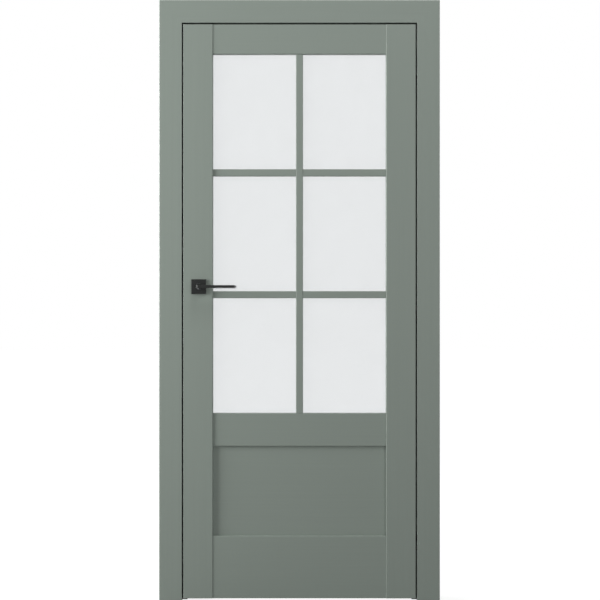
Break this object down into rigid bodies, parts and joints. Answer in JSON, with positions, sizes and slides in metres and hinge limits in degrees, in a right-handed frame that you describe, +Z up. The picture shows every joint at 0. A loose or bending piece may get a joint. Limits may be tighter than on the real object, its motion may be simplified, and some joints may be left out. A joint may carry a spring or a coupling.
{
  "type": "panelled interior door with frame",
  "caption": "Painted timber interior door: frosted glazed lights over a recessed panel, black levers on square roses, rebated frame with mitred casings.",
  "frame": {"origin": "on the floor, midway across the doorway, in the plane of the wall's front face", "axes": "+X across the doorway towards the hinges, +Y from the front through the wall, +Z up"},
  "size_m": [0.998, 0.174, 2.137],
  "materials": {
    "painted_timber": "satin sage green paint",
    "beech": "bare wood",
    "frosted_glass": "white satin frosted",
    "glazing_rubber": "matt grey",
    "seal_rubber": "matt black",
    "black_metal": "satin black powder coat",
    "hinge_steel": "satin nickel plated",
    "bright_steel": "bright turned",
    "zinc_plated_steel": "zinc plated",
    "spring_steel": "drawn wire",
    "black_plastic": "moulded black",
    "magnet": "nickel plated"
  },
  "bodies": {
    "frame": {"lock_jamb": "painted_timber", "hinge_jamb": "painted_timber", "head_jamb": "painted_timber", "lock_stop": "painted_timber", "hinge_stop": "painted_timber", "head_stop": "painted_timber", "frame_screws": "zinc_plated_steel", "frame_wood_screws": "zinc_plated_steel", "door_seal": "seal_rubber", "front_casing_hinge_side": "painted_timber", "front_casing_lock_side": "painted_timber", "front_casing_head": "painted_timber", "rear_casing_hinge_side": "painted_timber", "rear_casing_lock_side": "painted_timber", "rear_casing_head": "painted_timber", "hinge_housing_bottom": "hinge_steel", "hinge_housing_middle": "hinge_steel", "hinge_housing_top": "hinge_steel", "hinge_pins": "bright_steel", "strike_plate": "black_metal", "strike_box": "black_plastic", "strike_magnet": "magnet"},
    "leaf": {"bottom_rail": "painted_timber", "front_cross_bar_lower": "painted_timber", "front_cross_bar_upper": "painted_timber", "front_upright_bar": "painted_timber", "glass_pane": "frosted_glass", "glazing_gasket": "glazing_rubber", "hinge_arm_bottom": "hinge_steel", "hinge_arm_middle": "hinge_steel", "hinge_arm_top": "hinge_steel", "hinge_stile": "painted_timber", "leaf_wood_screws": "zinc_plated_steel", "lock_case": "zinc_plated_steel", "lock_cover": "zinc_plated_steel", "lock_faceplate": "black_metal", "lock_stile": "painted_timber", "lower_panel": "painted_timber", "mid_rail": "painted_timber", "rail_dowels": "beech", "rear_cross_bar_lower": "painted_timber", "rear_cross_bar_upper": "painted_timber", "rear_upright_bar": "painted_timber", "rose_base_front": "zinc_plated_steel", "rose_base_rear": "zinc_plated_steel", "rose_bolts": "bright_steel", "rose_cover_front": "black_metal", "rose_cover_rear": "black_metal", "top_rail": "painted_timber"},
    "lever": {"front_lever": "black_metal", "rear_lever": "black_metal", "spindle": "bright_steel", "lock_follower": "bright_steel", "grub_screws": "bright_steel"},
    "retractor": {"retractor": "zinc_plated_steel", "retractor_spring": "spring_steel", "latch_spring": "spring_steel"},
    "latch": {"latch_bolt": "black_plastic", "latch_magnet": "magnet"}
  },
  "joints": [
    {"name": "leaf_hinge", "type": "hinge", "parent": "frame", "child": "leaf", "pos_m": [0.434, 0.005, 1.03], "axis": [0, 0, 1], "range_deg": [0, 110]},
    {"name": "lever_turn", "type": "hinge", "parent": "leaf", "child": "lever", "pos_m": [-0.358, 0.012, 1.118], "axis": [0, 1, 0], "range_deg": [0, 40], "stiffness_Nm_per_rad": 2, "springref_deg": -20.05},
    {"name": "retractor_slide", "type": "slide", "parent": "leaf", "child": "retractor", "axis": [1, 0, 0], "range_m": [0, 0.01], "stiffness_N_per_m": 150, "springref_m": -0.01, "deforming": ["retractor_spring"]},
    {"name": "latch_slide", "type": "slide", "parent": "retractor", "child": "latch", "axis": [-1, 0, 0], "range_m": [0, 0.01], "stiffness_N_per_m": 40, "springref_m": -0.001, "deforming": ["latch_spring"]}
  ],
  "couplings": [
    {"joint": "retractor_slide", "follows": "lever_turn", "m_per_rad": 0.01432}
  ]
}
